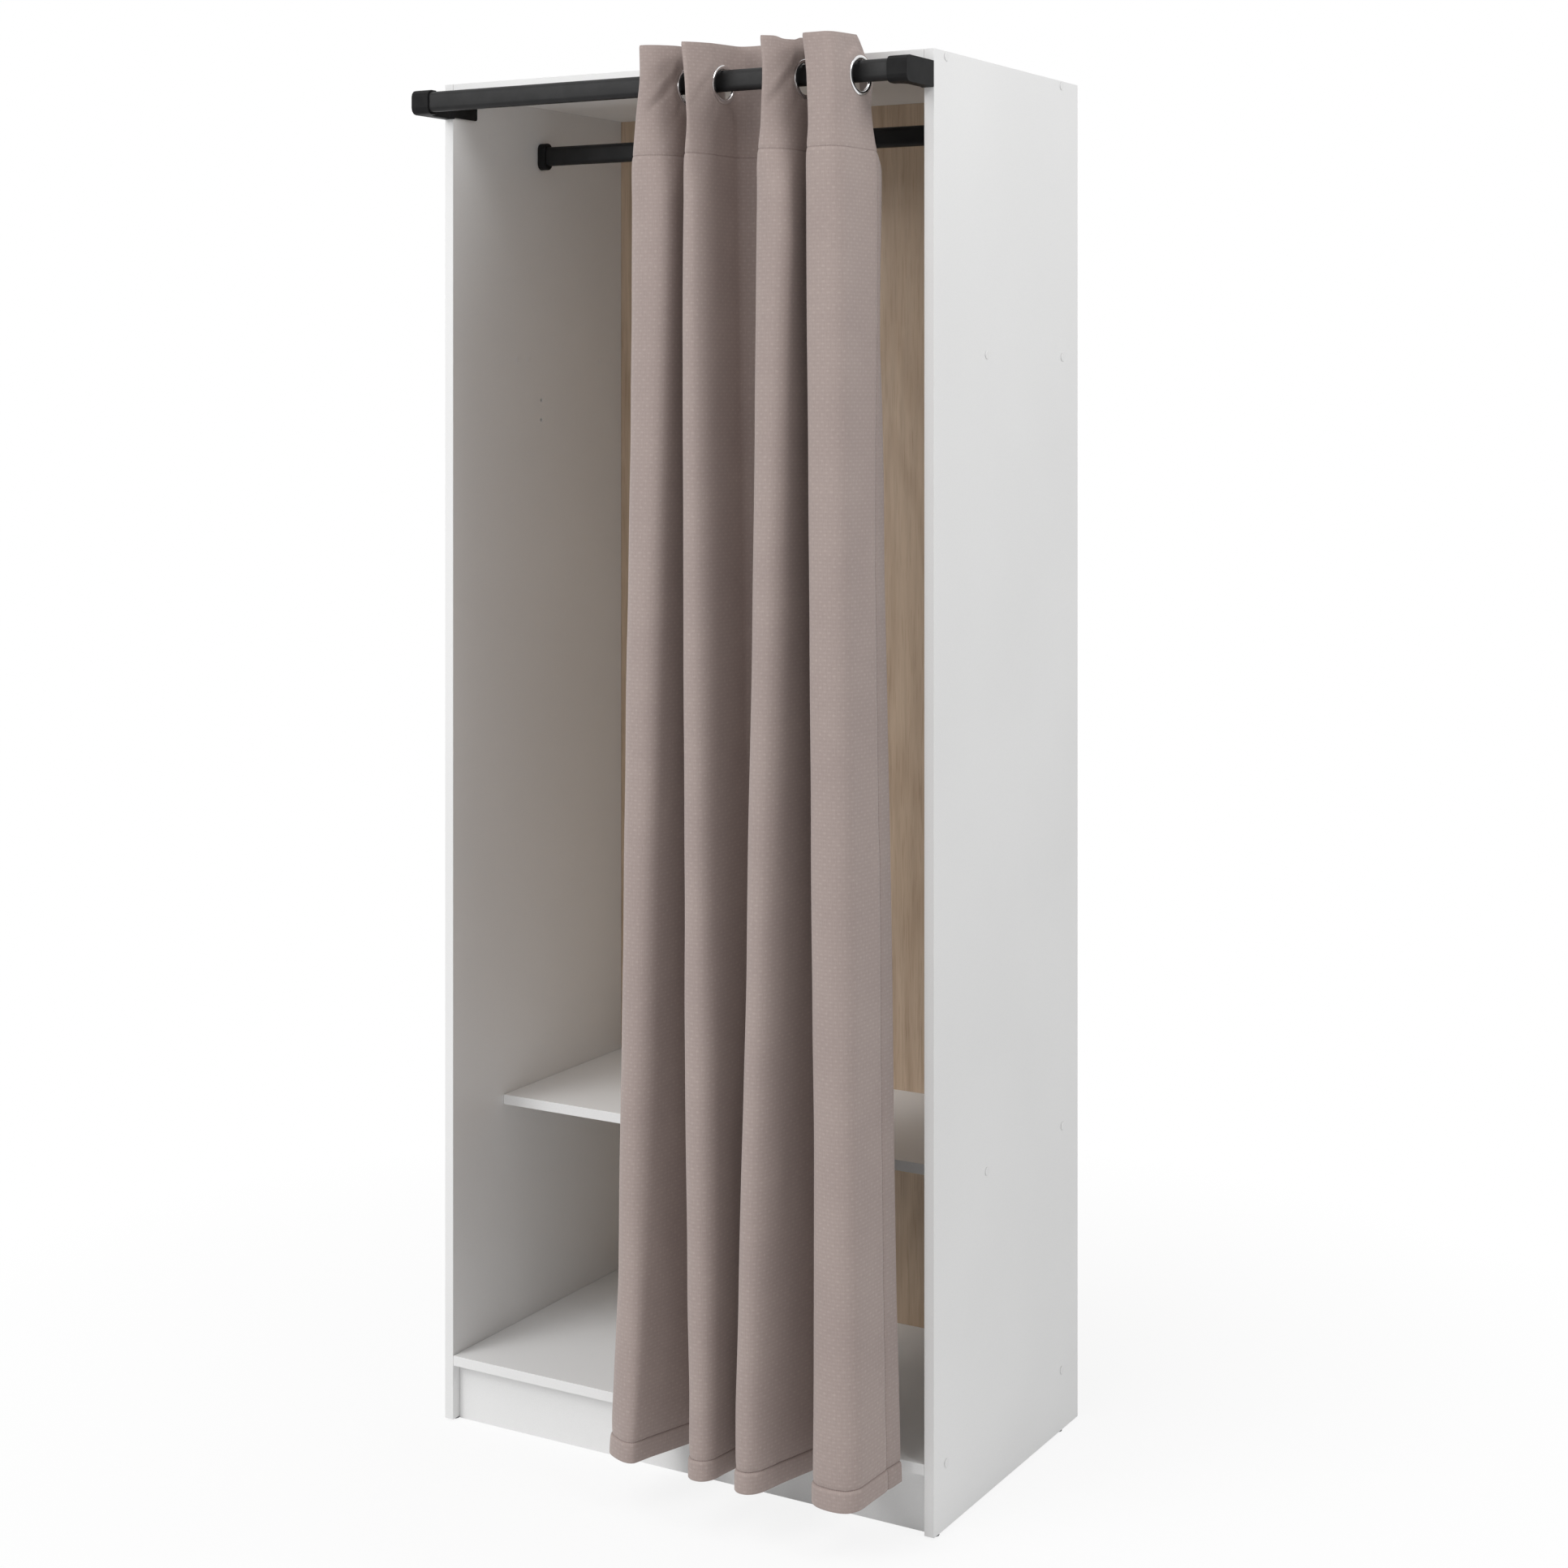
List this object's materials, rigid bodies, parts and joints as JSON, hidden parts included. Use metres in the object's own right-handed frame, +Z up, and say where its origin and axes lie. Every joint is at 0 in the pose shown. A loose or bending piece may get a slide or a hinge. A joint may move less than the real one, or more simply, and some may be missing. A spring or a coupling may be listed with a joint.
{
  "type": "curtain wardrobe",
  "caption": "Free-standing open wardrobe in white board with a wood-look back, a low shelf, a black clothes rail and an eyelet curtain that draws along a rail in front.",
  "frame": {"origin": "on the floor, under the middle of the whole object with its curtain", "axes": "+Z up, +Y towards the back of the wardrobe, +X towards its right side seen from the front"},
  "size_m": [0.8224, 0.6262, 2.0192],
  "materials": {
    "white_board": "white melamine on chipboard, satin, with matching edge band",
    "oak_back": "light oak print with a vertical grain on thin hardboard",
    "black_rail": "black powder coat, satin",
    "black_plastic": "moulded black plastic, fine texture",
    "zinc_steel": "zinc-plated steel",
    "white_cover": "white plastic",
    "grey_glide": "dark grey plastic on a steel nail",
    "chrome_eyelet": "polished chrome plate",
    "taupe_cloth": "taupe weave with a fine paler dot, hemmed"
  },
  "bodies": {
    "root": {"left_side": "white_board", "right_side": "white_board", "top_panel": "white_board", "bottom_panel": "white_board", "shelf": "white_board", "plinth": "white_board", "back_panel": "oak_back", "curtain_rail": "black_rail", "clothes_rail": "black_rail", "left_curtain_bracket": "black_plastic", "right_curtain_bracket": "black_plastic", "left_rail_socket": "black_plastic", "right_rail_socket": "black_plastic", "connecting_screw_1": "zinc_steel", "connecting_screw_2": "zinc_steel", "connecting_screw_3": "zinc_steel", "connecting_screw_4": "zinc_steel", "connecting_screw_5": "zinc_steel", "connecting_screw_6": "zinc_steel", "connecting_screw_7": "zinc_steel", "connecting_screw_8": "zinc_steel", "connecting_screw_9": "zinc_steel", "connecting_screw_10": "zinc_steel", "connecting_screw_11": "zinc_steel", "connecting_screw_12": "zinc_steel", "screw_cover_1": "white_cover", "screw_cover_2": "white_cover", "screw_cover_3": "white_cover", "screw_cover_4": "white_cover", "screw_cover_5": "white_cover", "screw_cover_6": "white_cover", "screw_cover_7": "white_cover", "screw_cover_8": "white_cover", "screw_cover_9": "white_cover", "screw_cover_10": "white_cover", "screw_cover_11": "white_cover", "screw_cover_12": "white_cover", "floor_glide_1": "grey_glide", "floor_glide_2": "grey_glide", "floor_glide_3": "grey_glide", "floor_glide_4": "grey_glide"},
    "runner_1": {"eyelet_1": "chrome_eyelet", "curtain_fold_1": "taupe_cloth"},
    "runner_2": {"eyelet_2": "chrome_eyelet", "curtain_fold_2": "taupe_cloth"},
    "runner_3": {"eyelet_3": "chrome_eyelet", "curtain_fold_3": "taupe_cloth"},
    "runner_4": {"eyelet_4": "chrome_eyelet", "curtain_fold_4": "taupe_cloth"},
    "runner_5": {"eyelet_5": "chrome_eyelet", "curtain_fold_5": "taupe_cloth"},
    "runner_6": {"eyelet_6": "chrome_eyelet", "curtain_fold_6": "taupe_cloth"},
    "runner_7": {"eyelet_7": "chrome_eyelet", "curtain_fold_7": "taupe_cloth"},
    "runner_8": {"eyelet_8": "chrome_eyelet", "curtain_fold_8": "taupe_cloth"}
  },
  "joints": [
    {"name": "curtain_shift", "type": "slide", "parent": "root", "child": "runner_8", "axis": [1, 0, 0], "range_m": [0, 0.035]},
    {"name": "curtain_draw", "type": "slide", "parent": "runner_2", "child": "runner_1", "axis": [1, 0, 0], "range_m": [-0.0524, 0]},
    {"name": "gap_2_3", "type": "slide", "parent": "runner_3", "child": "runner_2", "axis": [1, 0, 0], "range_m": [-0.0725, 0]},
    {"name": "gap_3_4", "type": "slide", "parent": "runner_4", "child": "runner_3", "axis": [1, 0, 0], "range_m": [-0.0698, 0]},
    {"name": "gap_4_5", "type": "slide", "parent": "runner_5", "child": "runner_4", "axis": [1, 0, 0], "range_m": [-0.0062, 0]},
    {"name": "gap_5_6", "type": "slide", "parent": "runner_6", "child": "runner_5", "axis": [1, 0, 0], "range_m": [-0.0638, 0]},
    {"name": "gap_6_7", "type": "slide", "parent": "runner_7", "child": "runner_6", "axis": [1, 0, 0], "range_m": [-0.0692, 0]},
    {"name": "gap_7_8", "type": "slide", "parent": "runner_8", "child": "runner_7", "axis": [1, 0, 0], "range_m": [-0.0453, 0]}
  ],
  "couplings": [
    {"joint": "gap_2_3", "follows": "curtain_draw", "ratio": 1.382},
    {"joint": "gap_3_4", "follows": "curtain_draw", "ratio": 1.332},
    {"joint": "gap_4_5", "follows": "curtain_draw", "ratio": 0.118},
    {"joint": "gap_5_6", "follows": "curtain_draw", "ratio": 1.216},
    {"joint": "gap_6_7", "follows": "curtain_draw", "ratio": 1.319},
    {"joint": "gap_7_8", "follows": "curtain_draw", "ratio": 0.863}
  ]
}
